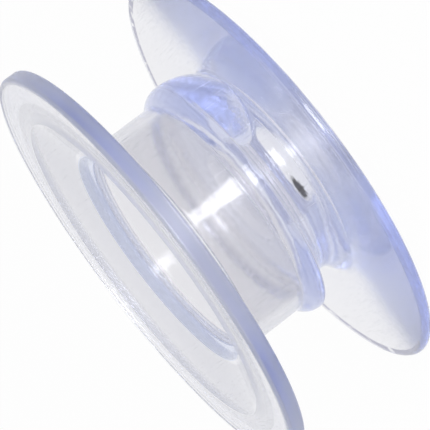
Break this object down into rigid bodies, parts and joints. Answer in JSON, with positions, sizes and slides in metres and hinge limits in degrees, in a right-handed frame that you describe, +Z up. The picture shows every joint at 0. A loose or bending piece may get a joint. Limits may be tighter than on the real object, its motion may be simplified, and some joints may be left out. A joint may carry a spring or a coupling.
{
  "type": "sewing machine bobbin",
  "caption": "Clear tinted plastic bobbin with a dished flange, hollow hub, collar, bridged groove and domed flange.",
  "frame": {"origin": "on the bobbin's axis, at the foot under the lower flange", "axes": "+Z up along the bobbin's axis, from the domed flange to the dished flange; -Y towards the picture's camera; the lug that bridges the groove is on the +X side"},
  "size_m": [0.0258, 0.0258, 0.0109],
  "materials": {
    "clear_plastic": "gloss"
  },
  "bodies": {
    "root": {"bobbin": "clear_plastic"}
  },
  "joints": []
}
